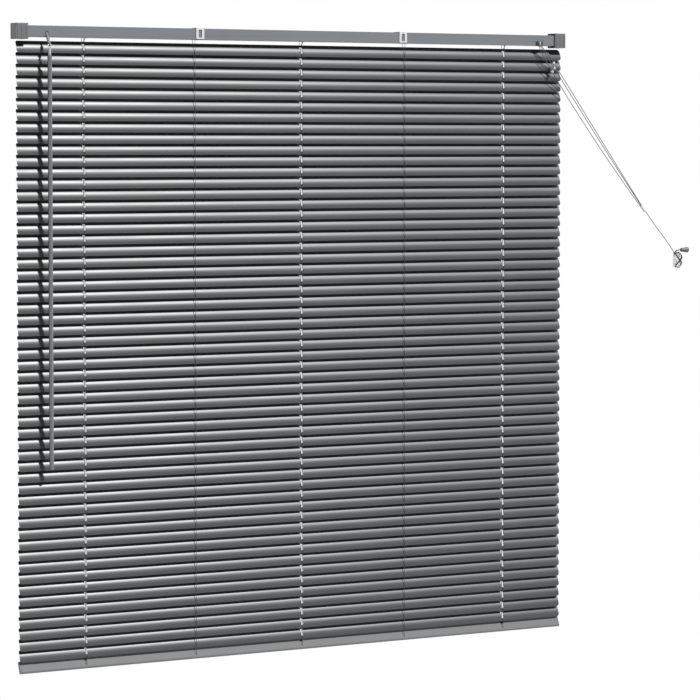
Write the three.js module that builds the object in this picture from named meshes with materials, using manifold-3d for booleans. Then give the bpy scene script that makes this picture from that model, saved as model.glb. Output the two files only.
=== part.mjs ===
// A venetian blind for a 1.2 m window, with 25 mm cambered aluminium slats, tilted closed and fully lowered.
// Millimetres, +X to the right as seen from the room, +Y towards the wall, +Z up.
// The origin lies on the wall plane, midway between the brackets, level with the top of the headrail.
//
// The blind has 55 slats. They fall into banks of eight that gather together when the blind is raised. One slat
// of each bank is modelled here, with the ladder rungs that carry it.
import * as THREE from "three";
import { mergeVertices } from "three/addons/utils/BufferGeometryUtils.js";
import Module from "manifold-3d";

const wasm = await Module();
wasm.setup();

// ------------------------------------------------ driving dimensions
const gap = 0.3; // between pieces that seat on each other

const blindWidth = 1200; // across the outside of the two box brackets
const slatInset = 5; // from a bracket's outside to the slats' end
const slatLength = blindWidth - 2 * slatInset;
const slatWidth = 25;
const slatThickness = 0.21;
const slatCamber = 2.4; // rise of the crown over the edges
const slatCorner = 5; // radius
const slatPitch = 21.5; // from one slat down to the next
const slatTilt = THREE.MathUtils.degToRad(65); // closed, with the room-side edge down
const slatDepth = 15; // from the wall to the middle of every slat
const firstSlatDrop = 40; // from the headrail's top to the first slat's middle
const slotWidth = 5; // the opening that a lift cord passes through
const slotLength = 14;

const bankSize = 8; // positions in one bank, of which the bottom rail takes the last
const bankCount = 7;
const modelledPosition = 4; // which slat of each bank is modelled

const ladderCount = 5;
const ladderInset = 140; // from a bracket's outside to the first ladder
const ladderSpacing = (blindWidth - 2 * ladderInset) / (ladderCount - 1);
const stringThickness = 1;
const rungThickness = 0.8;
const rungSideStep = 1.9; // a rung steps aside by this to pass the lift cord
const rungStepShare = 0.6; // of the way out to a string, where it has done so

const headrailHeight = 21.7;
const headrailDepth = 25;
const headrailWall = 0.7;
const headrailLip = 3;
const headrailBack = 2.5; // from the wall to the headrail

const bracketWidth = 25;
const bracketHeight = 30;
const bracketDepth = 28.8;
const bracketWall = 1.2;
const bracketRise = 4.3; // above the headrail
const bracketHoles = [0.35, 0.75]; // shares of its height, down from the top
const screwHole = 2.4; // radius
const coverPlate = 1.2;
const coverBarrel = 1.1; // radius
const coverRib = 0.6; // how far a rib stands out of the cover
const coverRibWidth = 1.6;
const coverRibPlaces = [0.16, 0.5, 0.84]; // shares of its width
const earHeight = 2.3;
const seatThickness = 2; // of the ridges that hold the headrail from below and above
const seatPlaces = [4, 19]; // from the headrail's front

const centreBracketPlace = blindWidth * 0.185; // from the middle of the blind
const centreBracketWidth = 17;
const centreBracketWall = 1.2;
const centreSlotWidth = 7;
const centreSlotHeight = 15;

const rodDrop = 11; // from the headrail's top to the tilt rod's axis
const rodRadius = 2.6; // across the corners of its hexagon, halved
const rodOverhang = 12; // past the last drum
const drumRadius = 9.4;
const drumWidth = 6;
const cradleHalfDepth = 9.7;
const cradleBase = 1;
const cradleCheek = 1.2;
const cradleOverhang = 3;
const throatHalfDepth = 7; // half the opening that a ladder's two strings pass through

const wandPlace = 63 - blindWidth / 2; // along X, also the tilter's
const tilterLength = 30;
const tilterGap = 9; // between its cheeks
const tilterFloor = 1.2;
const stemSlope = THREE.MathUtils.degToRad(35); // from the vertical
const stemOpeningWidth = 5.2;
const wormRadius = 1.8;
const wormThread = 0.8; // height of the thread
const wormLength = 9;
const wormTurns = 3;
const wormCentreDistance = 7.4; // from the rod's axis
const wheelWidth = 6;
const wheelTeeth = 14;
const wheelToothDepth = 0.7;
const wandReach = 27; // from the slats' middle out to the wand
const eyeRadius = 1.9;
const eyeWire = 0.6;
const hookRadius = 2.5;
const hookWire = 0.5;
const hookLeg = 4;
const shankRadius = 3.1;
const sleeveWall = 0.8;
const sleeveTopBelowEye = 1.4;
const sleeveLength = 18.4;
const wandRadius = 4.4; // across the corners of its hexagon, halved
const wandLength = 787;
const wandPinHole = 1; // radius
const wandPinDrop = 17;

const railWidth = 24.5;
const railThickness = 7;
const railWall = 0.8;
const railCap = 2;
const railPlugHole = 2.5; // radius
const railPlugOffset = 5; // from the rail's middle towards its upper edge

const cordRadius = 0.75;
const cordSides = 8;
const cordSideStep = 5.9; // from a ladder's middle to where its lift cord enters the headrail
const cordLevels = [-18.2, -16.4, -14.6]; // heights of the three cords that run along the headrail
const cordJogStart = -31; // below this a lift cord is plumb

const lockPlace = blindWidth / 2 - 61; // along X, the middle of the cord lock
const lockLength = 18;
const lockCavity = 13;
const snoutLength = 12;
const snoutReach = 2.8; // out of the headrail's front
const snoutTop = -13.4;
const snoutBottom = -20;
const lockRollerRadius = 3;
const lockRollerLength = 12.2;

const stopRadius = 2.6;
const stopLength = 4.5;
const connectorLength = 18.7;
const connectorRadius = 3.3;
const tasselLength = 19;
const tasselRadius = 5.9;

const cleatReach = 292; // from the blind's end to the cleat's middle
const cleatDrop = 471;
const cleatHeight = 47;
const cleatBaseWidth = 12;
const cleatBaseHeight = 32;
const cleatBaseThickness = 3;
const cleatPostWidth = 8;
const cleatPostHeight = 13;
const cleatThroat = 6; // between the base and the horns
const cleatHornWidth = 7;
const cleatHornThickness = 5;

// ------------------------------------------------ places worked out from them
const headrailFront = -(headrailBack + headrailDepth);
const headrailFloor = -headrailHeight + headrailWall;
const slatPlane = -slatDepth;
const fromMiddle = (i) => i - (ladderCount - 1) / 2;
const ladderPlaces = Array.from({ length: ladderCount }, (_, i) => fromMiddle(i) * ladderSpacing);
const corded = (ladder) => ladder % 2 === 0; // the first, third and fifth ladders have a lift cord
const positionDrop = (position) => -(firstSlatDrop + slatPitch * (position - 1));
const railDrop = positionDrop(bankSize * bankCount);
const bankDrop = (bank) => positionDrop((bank - 1) * bankSize + modelledPosition);
const stringOffset = (slatWidth / 2) * Math.cos(slatTilt) + gap + stringThickness / 2 + slatThickness / 2;
const stringTop = -rodDrop - Math.sqrt(drumRadius ** 2 - (stringOffset - stringThickness / 2) ** 2) - gap;
const cordRun = headrailFront + headrailWall + gap + cordRadius; // Y of the cords along the headrail's front
const lockEntry = lockPlace - lockLength / 2;
const wandPlane = slatPlane - wandReach;
const stemAxis = new THREE.Vector3(0, -Math.sin(stemSlope), -Math.cos(stemSlope)); // down, out into the room
const wormMiddle = new THREE.Vector3(
  wandPlace,
  slatPlane - wormCentreDistance * Math.cos(stemSlope),
  -rodDrop + wormCentreDistance * Math.sin(stemSlope),
);
const eyeMiddle = wormMiddle
  .clone()
  .addScaledVector(stemAxis, (wandPlane - wormMiddle.y) / stemAxis.y);
const sleeveTop = eyeMiddle.z - sleeveTopBelowEye;
const wandTop = sleeveTop - sleeveLength - gap;
const cleatPlace = new THREE.Vector3(blindWidth / 2 + cleatReach, 0, -cleatDrop);

// ------------------------------------------------ materials
const finish = (color, roughness, metalness = 0, opacity = 1) =>
  new THREE.MeshStandardMaterial({ color, roughness, metalness, opacity, transparent: opacity < 1 });
const greyPaint = finish(0x7d8184, 0.42, 0.3);
const slatPaint = finish(0x84888b, 0.35, 0.4);
const railPaint = finish(0x9a9da0, 0.4, 0.3);
const bracketPaint = finish(0xa3a6a8, 0.45, 0.3);
const steel = finish(0x8e9296, 0.35, 0.9);
const whitePlastic = finish(0xe4e6e6, 0.35);
const greyPlastic = finish(0x6d7174, 0.5);
const darkPlastic = finish(0x4a4d50, 0.45);
const clearPlastic = finish(0xdfe3e4, 0.15, 0, 0.5);
const cordFibre = finish(0x45484b, 0.9);

// ------------------------------------------------ geometry helpers
const V = (x, y, z) => new THREE.Vector3(x, y, z);

// A closed three.js geometry as a manifold solid, its shared vertices merged and its flat triangles dropped.
function solid(geometry) {
  const bare = geometry.index ? geometry.toNonIndexed() : geometry.clone();
  bare.deleteAttribute("normal");
  bare.deleteAttribute("uv");
  const merged = mergeVertices(bare, 1e-4);
  const index = merged.index.array;
  const triangles = [];
  for (let i = 0; i < index.length; i += 3) {
    const [a, b, c] = [index[i], index[i + 1], index[i + 2]];
    if (a !== b && b !== c && c !== a) triangles.push(a, b, c);
  }
  return new wasm.Manifold(
    new wasm.Mesh({
      numProp: 3,
      vertProperties: new Float32Array(merged.attributes.position.array),
      triVerts: new Uint32Array(triangles),
    }),
  );
}

const join = (...solids) => solids.reduce((all, next) => all.add(next));
const cut = (body, ...tools) => tools.reduce((left, tool) => left.subtract(tool), body);

function box([x0, x1], [y0, y1], [z0, z1]) {
  const geometry = new THREE.BoxGeometry(x1 - x0, y1 - y0, z1 - z0);
  return solid(geometry.translate((x0 + x1) / 2, (y0 + y1) / 2, (z0 + z1) / 2));
}

const outline = (points) => new THREE.Shape(points.map(([x, y]) => new THREE.Vector2(x, y)));

const extrude = (shape, depth, curveSegments = 4) =>
  new THREE.ExtrudeGeometry(shape, { depth, bevelEnabled: false, curveSegments });

// A shape drawn in Y and Z, extruded along X.
function alongX(shape, [x0, x1], curveSegments) {
  const frame = new THREE.Matrix4().makeBasis(V(0, 1, 0), V(0, 0, 1), V(1, 0, 0)).setPosition(x0, 0, 0);
  return solid(extrude(shape, x1 - x0, curveSegments).applyMatrix4(frame));
}

// A profile of [radius, height] pairs turned about the line from start along axis.
function turned(profile, start, axis, segments = 12) {
  const geometry = new THREE.LatheGeometry(
    profile.map(([r, h]) => new THREE.Vector2(r, h)),
    segments,
  );
  geometry.applyQuaternion(new THREE.Quaternion().setFromUnitVectors(V(0, 1, 0), axis.clone().normalize()));
  return solid(geometry.translate(start.x, start.y, start.z));
}

function rod(from, to, radius, segments = 12) {
  const axis = to.clone().sub(from);
  return turned([[0, 0], [radius, 0], [radius, axis.length()], [0, axis.length()]], from, axis, segments);
}

// Straight lengths between points that already follow the bends.
class Route extends THREE.Curve {
  constructor(points) {
    super();
    this.points = points;
  }
  getPoint(t, target = new THREE.Vector3()) {
    const along = t * (this.points.length - 1);
    const i = Math.min(Math.floor(along), this.points.length - 2);
    return target.lerpVectors(this.points[i], this.points[i + 1], along - i);
  }
  getPointAt(u, target) {
    return this.getPoint(u, target);
  }
  getTangentAt(u, target = new THREE.Vector3()) {
    const i = Math.round(u * (this.points.length - 1));
    const before = this.points[Math.max(i - 1, 0)];
    const here = this.points[i];
    const after = this.points[Math.min(i + 1, this.points.length - 1)];
    target.copy(here).sub(before).normalize();
    return target.add(after.clone().sub(here).normalize()).normalize();
  }
}

function tube(points, radius, sides = cordSides) {
  const ring = Array.from({ length: sides }, (_, i) => {
    const angle = (2 * Math.PI * i) / sides;
    return [radius * Math.cos(angle), radius * Math.sin(angle)];
  });
  return solid(
    new THREE.ExtrudeGeometry(outline(ring), { steps: points.length - 1, extrudePath: new Route(points) }),
  );
}

// A square bar between two points.
const bar = (from, to, thickness) => rod(from, to, thickness / Math.SQRT2, 4);

// Rounds the corners of a route: each inner point becomes three points of an arc of about this radius.
function rounded(points, radius) {
  const out = [points[0]];
  for (let i = 1; i < points.length - 1; i += 1) {
    const back = points[i - 1].clone().sub(points[i]);
    const on = points[i + 1].clone().sub(points[i]);
    const reach = Math.min(radius, back.length() / 2, on.length() / 2);
    const start = points[i].clone().addScaledVector(back.normalize(), reach);
    const end = points[i].clone().addScaledVector(on.normalize(), reach);
    out.push(...new THREE.QuadraticBezierCurve3(start, points[i], end).getPoints(3));
  }
  return [...out, points[points.length - 1]];
}

function mesh(name, body, material) {
  const { vertProperties, triVerts } = body.getMesh();
  const geometry = new THREE.BufferGeometry();
  geometry.setAttribute("position", new THREE.BufferAttribute(new Float32Array(vertProperties), 3));
  geometry.setIndex(new THREE.BufferAttribute(new Uint32Array(triVerts), 1));
  geometry.computeVertexNormals();
  const made = new THREE.Mesh(geometry, material);
  made.name = name;
  return made;
}

const blind = new THREE.Group();
const add = (name, body, material) => blind.add(mesh(name, body, material));

// ------------------------------------------------ headrail
// A channel open at the top, with openings for the ladders, the tilter's stem and the cord lock.
function headrail() {
  const [back, front] = [-headrailBack, headrailFront];
  const wall = headrailWall;
  const section = outline([
    [front, 0],
    [front, -headrailHeight],
    [back, -headrailHeight],
    [back, 0],
    [back - headrailLip, 0],
    [back - headrailLip, -wall],
    [back - wall, -wall],
    [back - wall, headrailFloor],
    [front + wall, headrailFloor],
    [front + wall, -wall],
    [front + headrailLip, -wall],
    [front + headrailLip, 0],
  ]);
  const half = blindWidth / 2 - bracketWall - gap;
  const ladderOpenings = ladderPlaces.map((x) =>
    box(
      [x - drumWidth / 2 - gap, x + cordSideStep + cordRadius + 0.6],
      [slatPlane - throatHalfDepth, slatPlane + throatHalfDepth],
      [-headrailHeight - 1, headrailFloor + 0.2],
    ),
  );
  const stemOpening = box(
    [wandPlace - stemOpeningWidth / 2, wandPlace + stemOpeningWidth / 2],
    [front - 1, front + wall + 0.2],
    [headrailFloor + 0.5, -rodDrop + 0.4],
  );
  const lockOpening = box(
    [lockPlace - snoutLength / 2 - gap, lockPlace + snoutLength / 2 + gap],
    [front - 1, front + wall + 0.2],
    [snoutBottom - gap, snoutTop + gap],
  );
  return cut(alongX(section, [-half, half]), ...ladderOpenings, stemOpening, lockOpening);
}
add("headrail", headrail(), greyPaint);

// ------------------------------------------------ box brackets and their hinged covers
// Drawn for the left end, and mirrored for the right.
const bracketEnd = -blindWidth / 2;
const bracketInner = bracketEnd + bracketWidth;
const bracketTop = bracketRise;
const bracketBottom = bracketRise - bracketHeight;
const coverAxis = { y: -(bracketDepth + gap + coverPlate - coverBarrel), z: bracketTop - coverBarrel };
const earFront = coverAxis.y - coverBarrel;

function boxBracket() {
  const shell = cut(
    box([bracketEnd, bracketInner], [-bracketDepth, 0], [bracketBottom, bracketTop]),
    box(
      [bracketEnd + bracketWall, bracketInner + 1],
      [-bracketDepth - 1, -bracketWall],
      [bracketBottom + bracketWall, bracketTop - bracketWall],
    ),
    box(
      [bracketEnd + bracketWall, bracketInner + 1],
      [-bracketDepth - 1, coverAxis.y + coverBarrel + gap],
      [coverAxis.z - coverBarrel - gap, bracketTop + 1],
    ),
    ...bracketHoles.map((share) =>
      rod(
        V(bracketEnd + bracketWidth / 2, 1, bracketTop - bracketHeight * share),
        V(bracketEnd + bracketWidth / 2, -bracketWall - 1, bracketTop - bracketHeight * share),
        screwHole,
        10,
      ),
    ),
  );
  const ear = ([x0, x1]) => box([x0, x1], [earFront, coverAxis.y + 6], [bracketTop - earHeight, bracketTop]);
  const ridges = (heights) =>
    seatPlaces.map((place) => {
      const y = headrailFront + place;
      return box([bracketEnd + bracketWall / 2, bracketInner], [y, y + seatThickness], heights);
    });
  return join(
    shell,
    ear([bracketEnd, bracketEnd + bracketWall]),
    ear([bracketInner - bracketWall, bracketInner]),
    ...ridges([bracketBottom + bracketWall / 2, -headrailHeight - gap]),
    ...ridges([gap, bracketTop - bracketWall / 2]),
  );
}

function bracketCover() {
  const front = -(bracketDepth + gap + coverPlate);
  const back = front + coverPlate;
  const plateTop = coverAxis.z - 2 * coverBarrel;
  const between = [bracketEnd + bracketWall + gap, bracketInner - bracketWall - gap];
  const leaf = box(between, [front, back], [plateTop - 1, coverAxis.z]);
  const plate = box([bracketEnd, bracketInner], [front, back], [bracketBottom, plateTop]);
  const ends = between.map((x) => V(x, coverAxis.y, coverAxis.z));
  const barrel = rod(...ends, coverBarrel);
  const ribs = coverRibPlaces.map((share) => {
    const x = bracketEnd + bracketWidth * share;
    const sides = [x - coverRibWidth / 2, x + coverRibWidth / 2];
    return box(sides, [front - coverRib, front + 0.2], [bracketBottom + 1, plateTop - 1]);
  });
  return join(leaf, plate, barrel, ...ribs);
}
const mirrored = (body) => body.mirror([1, 0, 0]);
add("box_bracket_left", boxBracket(), bracketPaint);
add("box_bracket_right", mirrored(boxBracket()), bracketPaint);
add("bracket_cover_left", bracketCover(), bracketPaint);
add("bracket_cover_right", mirrored(bracketCover()), bracketPaint);

// ------------------------------------------------ centre brackets
// A wall plate, an arm over the headrail and a slotted tongue down its front.
function centreBracket(x) {
  const wall = centreBracketWall;
  const front = headrailFront - gap;
  const section = outline([
    [0, -headrailHeight],
    [0, gap + wall],
    [front - wall, gap + wall],
    [front - wall, -headrailHeight + 1.4],
    [front, -headrailHeight + 1.4],
    [front, gap],
    [-wall, gap],
    [-wall, -headrailHeight],
  ]);
  const [left, right] = [x - centreBracketWidth / 2, x + centreBracketWidth / 2];
  const slot = box(
    [x - centreSlotWidth / 2, x + centreSlotWidth / 2],
    [front - wall - 1, front + 0.2],
    [-centreSlotHeight - 2.5, -2.5],
  );
  const screw = rod(V(x, 1, -headrailHeight * 0.6), V(x, -wall - 1, -headrailHeight * 0.6), screwHole, 10);
  return cut(alongX(section, [left, right]), slot, screw);
}
add("centre_bracket_left", centreBracket(-centreBracketPlace), whitePlastic);
add("centre_bracket_right", centreBracket(centreBracketPlace), whitePlastic);

// ------------------------------------------------ tilt rod, drums and their cradles
const rodAxis = (x) => V(x, slatPlane, -rodDrop);
const rodStart = wandPlace - tilterLength / 2 + 3;
const rodEnd = ladderPlaces[ladderCount - 1] + drumWidth / 2 + rodOverhang;
add("tilt_rod", rod(rodAxis(rodStart), rodAxis(rodEnd), rodRadius, 6), steel);

function ladderDrum(x) {
  const bore = rodRadius + gap;
  const rim = drumRadius;
  const groove = rim - 1;
  const half = drumWidth / 2;
  const profile = [
    [bore, -half],
    [rim, -half],
    [rim, 1 - half],
    [groove, 1.4 - half],
    [groove, half - 1.4],
    [rim, half - 1],
    [rim, half],
    [bore, half],
    [bore, -half],
  ];
  return turned(profile, rodAxis(x), V(1, 0, 0), 16);
}

function ladderCradle(x) {
  const base = headrailFloor + gap;
  const cheekInner = drumWidth / 2 + gap;
  const cheekOuter = cheekInner + cradleCheek;
  const depth = [slatPlane - cradleHalfDepth, slatPlane + cradleHalfDepth];
  const through = [base - 1, base + cradleBase + 1];
  const throat = [slatPlane - throatHalfDepth, slatPlane + throatHalfDepth];
  const sides = [x - cheekOuter - cradleOverhang, x + cordSideStep + cradleOverhang + 1];
  const plate = cut(
    box(sides, depth, [base, base + cradleBase]),
    box([x - cheekInner, x + cheekInner], throat, through),
    box([x + cheekOuter + gap, x + cordSideStep + cordRadius + 0.4], [slatPlane - 2, slatPlane + 2], through),
  );
  const cheek = ([x0, x1]) =>
    cut(
      box([x0, x1], depth, [base + cradleBase / 2, -rodDrop + rodRadius]),
      rod(V(x0 - 1, slatPlane, -rodDrop), V(x1 + 1, slatPlane, -rodDrop), rodRadius + gap, 12),
      box([x0 - 1, x1 + 1], [slatPlane - rodRadius - gap, slatPlane + rodRadius + gap], [-rodDrop, 0]),
    );
  return join(plate, cheek([x - cheekOuter, x - cheekInner]), cheek([x + cheekInner, x + cheekOuter]));
}
ladderPlaces.forEach((x, i) => {
  add(`ladder_drum_${i + 1}`, ladderDrum(x), whitePlastic);
  add(`ladder_cradle_${i + 1}`, ladderCradle(x), whitePlastic);
});

// ------------------------------------------------ tilter: housing, wheel and worm with eyed stem
function tilterHousing() {
  const [left, right] = [wandPlace - tilterLength / 2, wandPlace + tilterLength / 2];
  const base = headrailFloor + gap;
  const front = headrailFront + headrailWall + gap;
  const back = -headrailBack - headrailWall - gap;
  const body = box([left, right], [front, back], [base, -headrailWall - gap]);
  const cavity = box(
    [wandPlace - tilterGap / 2, wandPlace + tilterGap / 2],
    [front - 1, back - 3],
    [base + tilterFloor, 1],
  );
  const bore = rod(rodAxis(left - 1), rodAxis(right + 1), rodRadius + gap, 12);
  return cut(body, cavity, bore);
}

function wormWheel() {
  const tip = wormCentreDistance - wormRadius - wormThread - gap;
  const root = tip - wheelToothDepth;
  const teeth = Array.from({ length: wheelTeeth * 4 }, (_, i) => {
    const angle = (2 * Math.PI * i) / (wheelTeeth * 4);
    const radius = i % 4 < 2 ? tip : root;
    return [slatPlane + radius * Math.cos(angle), -rodDrop + radius * Math.sin(angle)];
  });
  const x = [wandPlace - wheelWidth / 2, wandPlace + wheelWidth / 2];
  return cut(alongX(outline(teeth), x), rod(rodAxis(x[0] - 1), rodAxis(x[1] + 1), rodRadius + gap, 12));
}

function tiltWorm() {
  const start = wormMiddle.clone().addScaledVector(stemAxis, -wormLength / 2);
  const toEye = eyeMiddle.clone().sub(start).length();
  const shaft = rod(start, start.clone().addScaledVector(stemAxis, toEye - eyeRadius - 0.3), wormRadius, 12);
  const steps = wormTurns * 10;
  const across = V(1, 0, 0);
  const upright = new THREE.Vector3().crossVectors(stemAxis, across);
  const helix = Array.from({ length: steps + 1 }, (_, i) => {
    const angle = (2 * Math.PI * i) / 10;
    return start
      .clone()
      .addScaledVector(stemAxis, 1 + ((wormLength - 2) * i) / steps)
      .addScaledVector(across, wormRadius * Math.cos(angle))
      .addScaledVector(upright, wormRadius * Math.sin(angle));
  });
  const eye = solid(
    new THREE.TorusGeometry(eyeRadius, eyeWire, 8, 16).rotateY(Math.PI / 2).translate(...eyeMiddle.toArray()),
  );
  return join(shaft, tube(helix, wormThread, 6), eye);
}

add("tilter_housing", tilterHousing(), greyPlastic);
add("worm_wheel", wormWheel(), whitePlastic);
add("tilt_worm", tiltWorm(), steel);

// ------------------------------------------------ wand: hook, sleeve and rod
function wandHook() {
  const arc = Array.from({ length: 9 }, (_, i) => {
    const angle = Math.PI * (1 - i / 8);
    return V(
      wandPlace + hookRadius * Math.cos(angle),
      wandPlane,
      eyeMiddle.z - hookRadius + hookRadius * Math.sin(angle),
    );
  });
  const legEnd = eyeMiddle.z - hookRadius - hookLeg;
  const foot = (side) => V(wandPlace + side * hookRadius, wandPlane, legEnd);
  const shankTop = V(wandPlace, wandPlane, legEnd + 0.6);
  const shank = rod(shankTop, V(wandPlace, wandPlane, wandTop + gap), shankRadius);
  return join(tube([foot(-1), ...arc, foot(1)], hookWire), shank);
}

function wandSleeve() {
  const inner = shankRadius + gap;
  const outer = inner + sleeveWall;
  const profile = [[inner, 0], [outer, 0], [outer, sleeveLength], [inner, sleeveLength], [inner, 0]];
  return turned(profile, V(wandPlace, wandPlane, wandTop + gap), V(0, 0, 1), 16);
}

function wandRod() {
  const r = wandRadius;
  const profile = [
    [0, 0],
    [r * 0.6, 0],
    [r, 3.4],
    [r, wandLength - 1.4],
    [r * 0.8, wandLength],
    [0, wandLength],
  ];
  const hole = rod(
    V(wandPlace, wandPlane - 6, wandTop - wandPinDrop),
    V(wandPlace, wandPlane + 6, wandTop - wandPinDrop),
    wandPinHole,
    8,
  );
  return cut(turned(profile, V(wandPlace, wandPlane, wandTop - wandLength), V(0, 0, 1), 6), hole);
}
add("wand_hook", wandHook(), steel);
add("wand_sleeve", wandSleeve(), clearPlastic);
add("wand_rod", wandRod(), darkPlastic);

// ------------------------------------------------ slats, one of each bank
// Drawn flat, with its width along Y and its crown up, then tilted into place.
function slat() {
  const steps = 8;
  const crown = (y) => slatCamber * (1 - ((2 * y) / slatWidth) ** 2);
  const across = Array.from({ length: steps + 1 }, (_, i) => slatWidth * (i / steps - 0.5));
  const lower = across.map((y) => [y, crown(y) - slatThickness / 2]);
  const upper = across.map((y) => [y, crown(y) + slatThickness / 2]).reverse();
  const strip = alongX(outline([...lower, ...upper]), [-slatLength / 2, slatLength / 2]);
  const upright = (shape) => solid(extrude(shape, 2 * slatCamber + 2, 3).translate(0, 0, -1));
  const plan = new THREE.Shape();
  const [halfLength, halfWidth, corner] = [slatLength / 2, slatWidth / 2 + 0.01, slatCorner];
  plan.moveTo(-halfLength + corner, -halfWidth);
  plan.lineTo(halfLength - corner, -halfWidth);
  plan.absarc(halfLength - corner, -halfWidth + corner, corner, -Math.PI / 2, 0);
  plan.absarc(halfLength - corner, halfWidth - corner, corner, 0, Math.PI / 2);
  plan.absarc(-halfLength + corner, halfWidth - corner, corner, Math.PI / 2, Math.PI);
  plan.absarc(-halfLength + corner, -halfWidth + corner, corner, Math.PI, 1.5 * Math.PI);
  const slots = ladderPlaces.filter((_, i) => corded(i)).map((x) => {
    const shape = new THREE.Shape();
    const reach = (slotLength - slotWidth) / 2;
    shape.absarc(x, reach, slotWidth / 2, 0, Math.PI);
    shape.absarc(x, -reach, slotWidth / 2, Math.PI, 2 * Math.PI);
    return upright(shape);
  });
  return cut(strip.intersect(upright(plan)), ...slots);
}

const slatSolid = slat();
const banks = Array.from({ length: bankCount }, (_, i) => i + 1);
banks.forEach((bank) => {
  const made = mesh(`slat_bank_${bank}`, slatSolid, slatPaint);
  made.position.set(0, slatPlane, bankDrop(bank));
  made.rotation.x = slatTilt;
  blind.add(made);
});

// ------------------------------------------------ bottom rail and its end caps
const railEnd = slatLength / 2 - railCap - gap;

function stadium(width, thickness, target = new THREE.Shape()) {
  const radius = thickness / 2;
  target.absarc(width / 2 - radius, 0, radius, -Math.PI / 2, Math.PI / 2);
  target.absarc(-width / 2 + radius, 0, radius, Math.PI / 2, 1.5 * Math.PI);
  return target;
}

function bottomRail() {
  const section = stadium(railWidth, railThickness);
  section.holes.push(stadium(railWidth - 2 * railWall, railThickness - 2 * railWall, new THREE.Path()));
  const plugHoles = ladderPlaces
    .filter((_, i) => corded(i))
    .map((x) => rod(V(x, railPlugOffset, 0), V(x, railPlugOffset, railThickness), railPlugHole, 10));
  return cut(alongX(section, [-railEnd, railEnd], 5), ...plugHoles);
}

function railCapSolid() {
  const plug = railWall + gap;
  return join(
    alongX(stadium(railWidth, railThickness), [railEnd + gap, railEnd + gap + railCap], 5),
    alongX(stadium(railWidth - 2 * plug, railThickness - 2 * plug), [railEnd - 6, railEnd + gap + 0.2], 5),
  );
}

const rail = new THREE.Group();
rail.position.set(0, slatPlane, railDrop);
rail.rotation.x = slatTilt;
rail.add(
  mesh("bottom_rail", bottomRail(), railPaint),
  mesh("bottom_rail_cap_left", mirrored(railCapSolid()), greyPlastic),
  mesh("bottom_rail_cap_right", railCapSolid(), greyPlastic),
);
blind.add(rail);

// ------------------------------------------------ ladders
// Two strings with a rung under each modelled slat. A rung follows the slat's underside, and steps aside for
// a lift cord.
function ladder(x, frontSpan, backSpan, bankNumbers, stepAside) {
  const around = (middle) => [middle - stringThickness / 2, middle + stringThickness / 2];
  const string = (side, span) => box(around(x), around(slatPlane + side * stringOffset), span);
  const under = slatThickness / 2 + gap + rungThickness / 2;
  const underSlat = (bank, aside, y) => {
    const s = (y - under * Math.sin(slatTilt)) / Math.cos(slatTilt);
    return V(x - aside, slatPlane + y, bankDrop(bank) + s * Math.sin(slatTilt) - under * Math.cos(slatTilt));
  };
  const rung = (bank) => {
    const ends = [underSlat(bank, 0, -stringOffset), underSlat(bank, 0, stringOffset)];
    if (!stepAside) return bar(...ends, rungThickness);
    const inner = [-rungStepShare, rungStepShare].map((y) => underSlat(bank, rungSideStep, y * stringOffset));
    return tube([ends[0], ...inner, ends[1]], rungThickness / Math.SQRT2, 4);
  };
  return join(string(-1, frontSpan), string(1, backSpan), ...bankNumbers.map(rung));
}

// Where the strings meet the rail's rounded back and its front face.
const railTopFront = railDrop - railThickness / 2;
const railTopBack = railDrop + (railWidth / 2) * Math.sin(slatTilt) + gap;
const middleLadder = 2;
ladderPlaces.forEach((x, i) => {
  if (i === middleLadder) return;
  const spans = [[railTopFront, stringTop], [railTopBack, stringTop]];
  add(`ladder_${i + 1}`, ladder(x, ...spans, banks, corded(i)), cordFibre);
});

// The middle ladder is in lengths, one to a bank, because the banks rise by different amounts.
const lengthJoint = (bank) => bankDrop(bank) - slatPitch * (bankSize / 2);
banks.forEach((bank) => {
  const top = bank === 1 ? stringTop : lengthJoint(bank - 1) - gap;
  const foot = lengthJoint(bank);
  const [front, back] = bank === bankCount ? [railTopFront, railTopBack] : [foot, foot];
  const length = ladder(ladderPlaces[middleLadder], [front, top], [back, top], [bank], true);
  add(`ladder_3_bank_${bank}`, length, cordFibre);
});

// ------------------------------------------------ lift cords
// Each rises through the slats' slots into the headrail and runs along its front wall to the cord lock.
const railTopMiddle = railDrop + railThickness / 2 / Math.cos(slatTilt);
const liftCordFoot = railTopMiddle + cordRadius * Math.tan(slatTilt) + gap;
ladderPlaces
  .filter((_, i) => corded(i))
  .forEach((x, i) => {
    const level = cordLevels[i];
    const entry = x + cordSideStep;
    const route = [
      V(x, slatPlane, liftCordFoot),
      V(x, slatPlane, cordJogStart),
      V(entry, slatPlane, headrailFloor),
      V(entry, slatPlane, level),
      V(entry, cordRun, level),
      V(lockEntry - gap, cordRun, level),
    ];
    add(`lift_cord_${i + 1}`, tube(rounded(route, 2), cordRadius), cordFibre);
  });

// ------------------------------------------------ cord lock and its roller
const lockRollerMiddle = V(lockPlace, headrailFront + 8, -rodDrop - 1.5);
const lockSlope = V(0, 0.6, 0.8); // the way that the roller lifts to free the cords
const lockTravel = 4;

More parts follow.
